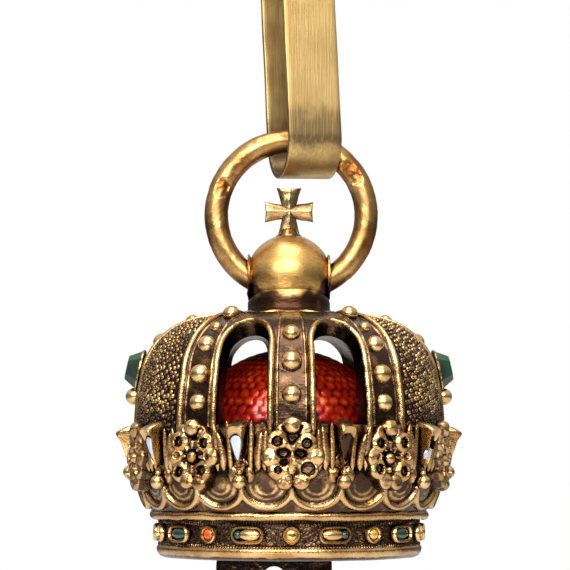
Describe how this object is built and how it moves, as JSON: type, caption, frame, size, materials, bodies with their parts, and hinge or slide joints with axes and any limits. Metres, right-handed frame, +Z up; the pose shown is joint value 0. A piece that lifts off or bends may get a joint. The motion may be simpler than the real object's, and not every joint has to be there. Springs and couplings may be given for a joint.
{
  "type": "order neck badge crown suspension",
  "caption": "Jewelled gilt crown with orb and cross, hung by a round ring from a long flat strap loop for a neck ribbon, with a bored hanger below for a badge.",
  "frame": {"origin": "inner apex of the strap loop's upper bend, where the neck ribbon carries it", "axes": "+Z up along the hanging length, the crown's front faces -Y, +X to the right"},
  "size_m": [0.0299, 0.0286, 0.0937],
  "materials": {
    "old_gilt": "worn gilt relief with brown-black patina in the hollows",
    "ring_gold": "hammered satin gold, warm orange tone",
    "strap_gold": "matt brushed pale gold with a dark tarnish patch",
    "dark_patina": "dark brown patina, satin",
    "red_enamel": "translucent red enamel over engraved cells",
    "white_enamel": "opaque white enamel, glossy",
    "dark_green_enamel": "dark green enamel, glossy",
    "orange_enamel": "orange-red enamel, glossy",
    "green_stone": "dark green cut stone, polished facets"
  },
  "bodies": {
    "loop": {"ribbon_loop": "strap_gold"},
    "ring": {"suspension_ring": "ring_gold"},
    "crown": {"badge_hanger": "dark_patina", "band_gem_01": "old_gilt", "band_gem_02": "dark_green_enamel", "band_gem_03": "old_gilt", "band_gem_04": "dark_green_enamel", "band_gem_05": "old_gilt", "band_gem_06": "dark_green_enamel", "band_gem_07": "old_gilt", "band_gem_08": "dark_green_enamel", "band_gem_09": "old_gilt", "band_gem_10": "dark_green_enamel", "band_gem_11": "old_gilt", "band_gem_12": "dark_green_enamel", "band_gem_13": "old_gilt", "band_gem_14": "dark_green_enamel", "band_gem_15": "old_gilt", "band_gem_16": "dark_green_enamel", "band_gem_17": "old_gilt", "band_gem_18": "dark_green_enamel", "band_gem_19": "orange_enamel", "band_gem_20": "dark_green_enamel", "crown_arches": "old_gilt", "crown_cresting": "old_gilt", "crown_headband": "old_gilt", "enamel_drop_02": "white_enamel", "enamel_drop_03": "white_enamel", "enamel_drop_04": "white_enamel", "enamel_drop_05": "white_enamel", "enamel_drop_06": "white_enamel", "enamel_drop_07": "white_enamel", "enamel_drop_08": "white_enamel", "enamel_drop_09": "white_enamel", "enamel_drop_10": "white_enamel", "green_stone_left": "green_stone", "green_stone_right": "green_stone", "orb": "old_gilt", "orb_cross": "old_gilt", "red_cap": "red_enamel", "rosette_01": "old_gilt", "rosette_02": "old_gilt", "rosette_03": "old_gilt", "rosette_04": "old_gilt", "rosette_05": "old_gilt", "rosette_06": "old_gilt", "rosette_07": "old_gilt", "rosette_08": "old_gilt", "rosette_09": "old_gilt", "rosette_10": "old_gilt"}
  },
  "joints": [
    {"name": "ring_swing", "type": "hinge", "parent": "loop", "child": "ring", "pos_m": [0.00245, 0, -0.05399], "axis": [0.9603, 0.2756, 0.0436], "range_deg": [-90, 90]},
    {"name": "crown_swing", "type": "hinge", "parent": "ring", "child": "crown", "pos_m": [0.00115, 0, -0.06584], "axis": [1, 0, 0], "range_deg": [-60, 60]}
  ]
}
